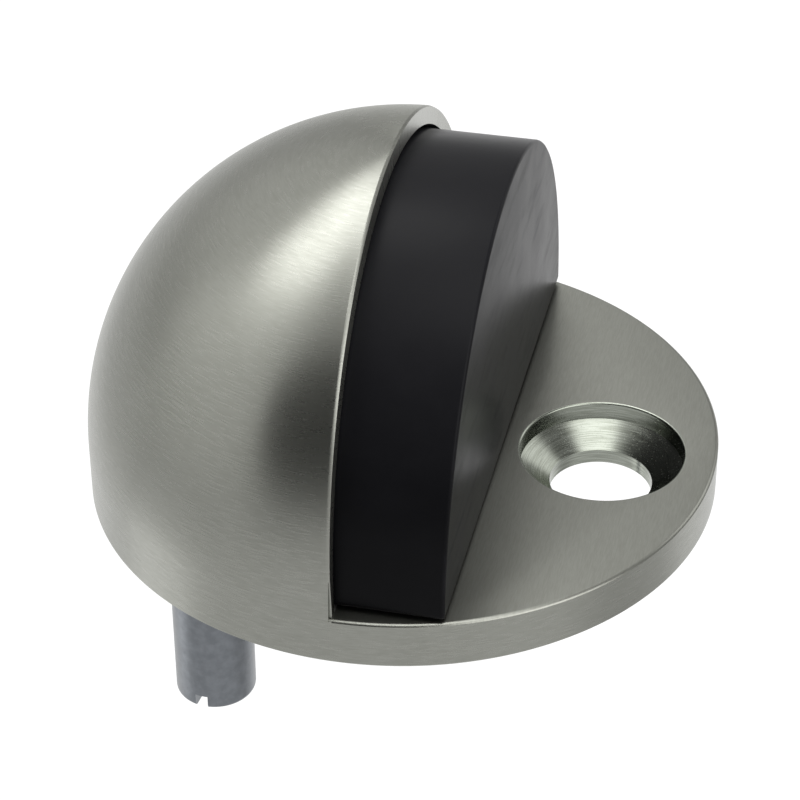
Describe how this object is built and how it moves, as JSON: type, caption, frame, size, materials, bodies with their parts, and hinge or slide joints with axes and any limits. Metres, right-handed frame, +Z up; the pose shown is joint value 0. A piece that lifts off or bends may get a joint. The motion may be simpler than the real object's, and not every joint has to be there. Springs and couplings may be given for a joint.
{
  "type": "door stop",
  "caption": "Floor door stop: a satin metal half dome on a round base plate, with a D-shaped black rubber buffer, a sunk screw hole and a slotted steel locating pin below.",
  "frame": {"origin": "centre of the round base plate, on the face that lies on the floor", "axes": "+Z up from the floor, +X from the dome through the buffer to the screw hole, towards the open door"},
  "size_m": [0.045, 0.045, 0.0501],
  "materials": {
    "satin_nickel": "brushed satin nickel",
    "black_rubber": "moulded, smooth",
    "zinc_plated_steel": "zinc plated, matt"
  },
  "bodies": {
    "body": {"body_casting": "satin_nickel", "rubber_buffer": "black_rubber"},
    "pin": {"locating_pin": "zinc_plated_steel"}
  },
  "joints": [
    {"name": "pin_travel", "type": "slide", "parent": "body", "child": "pin", "axis": [0, 0, -1], "range_m": [0, 0.005]}
  ]
}
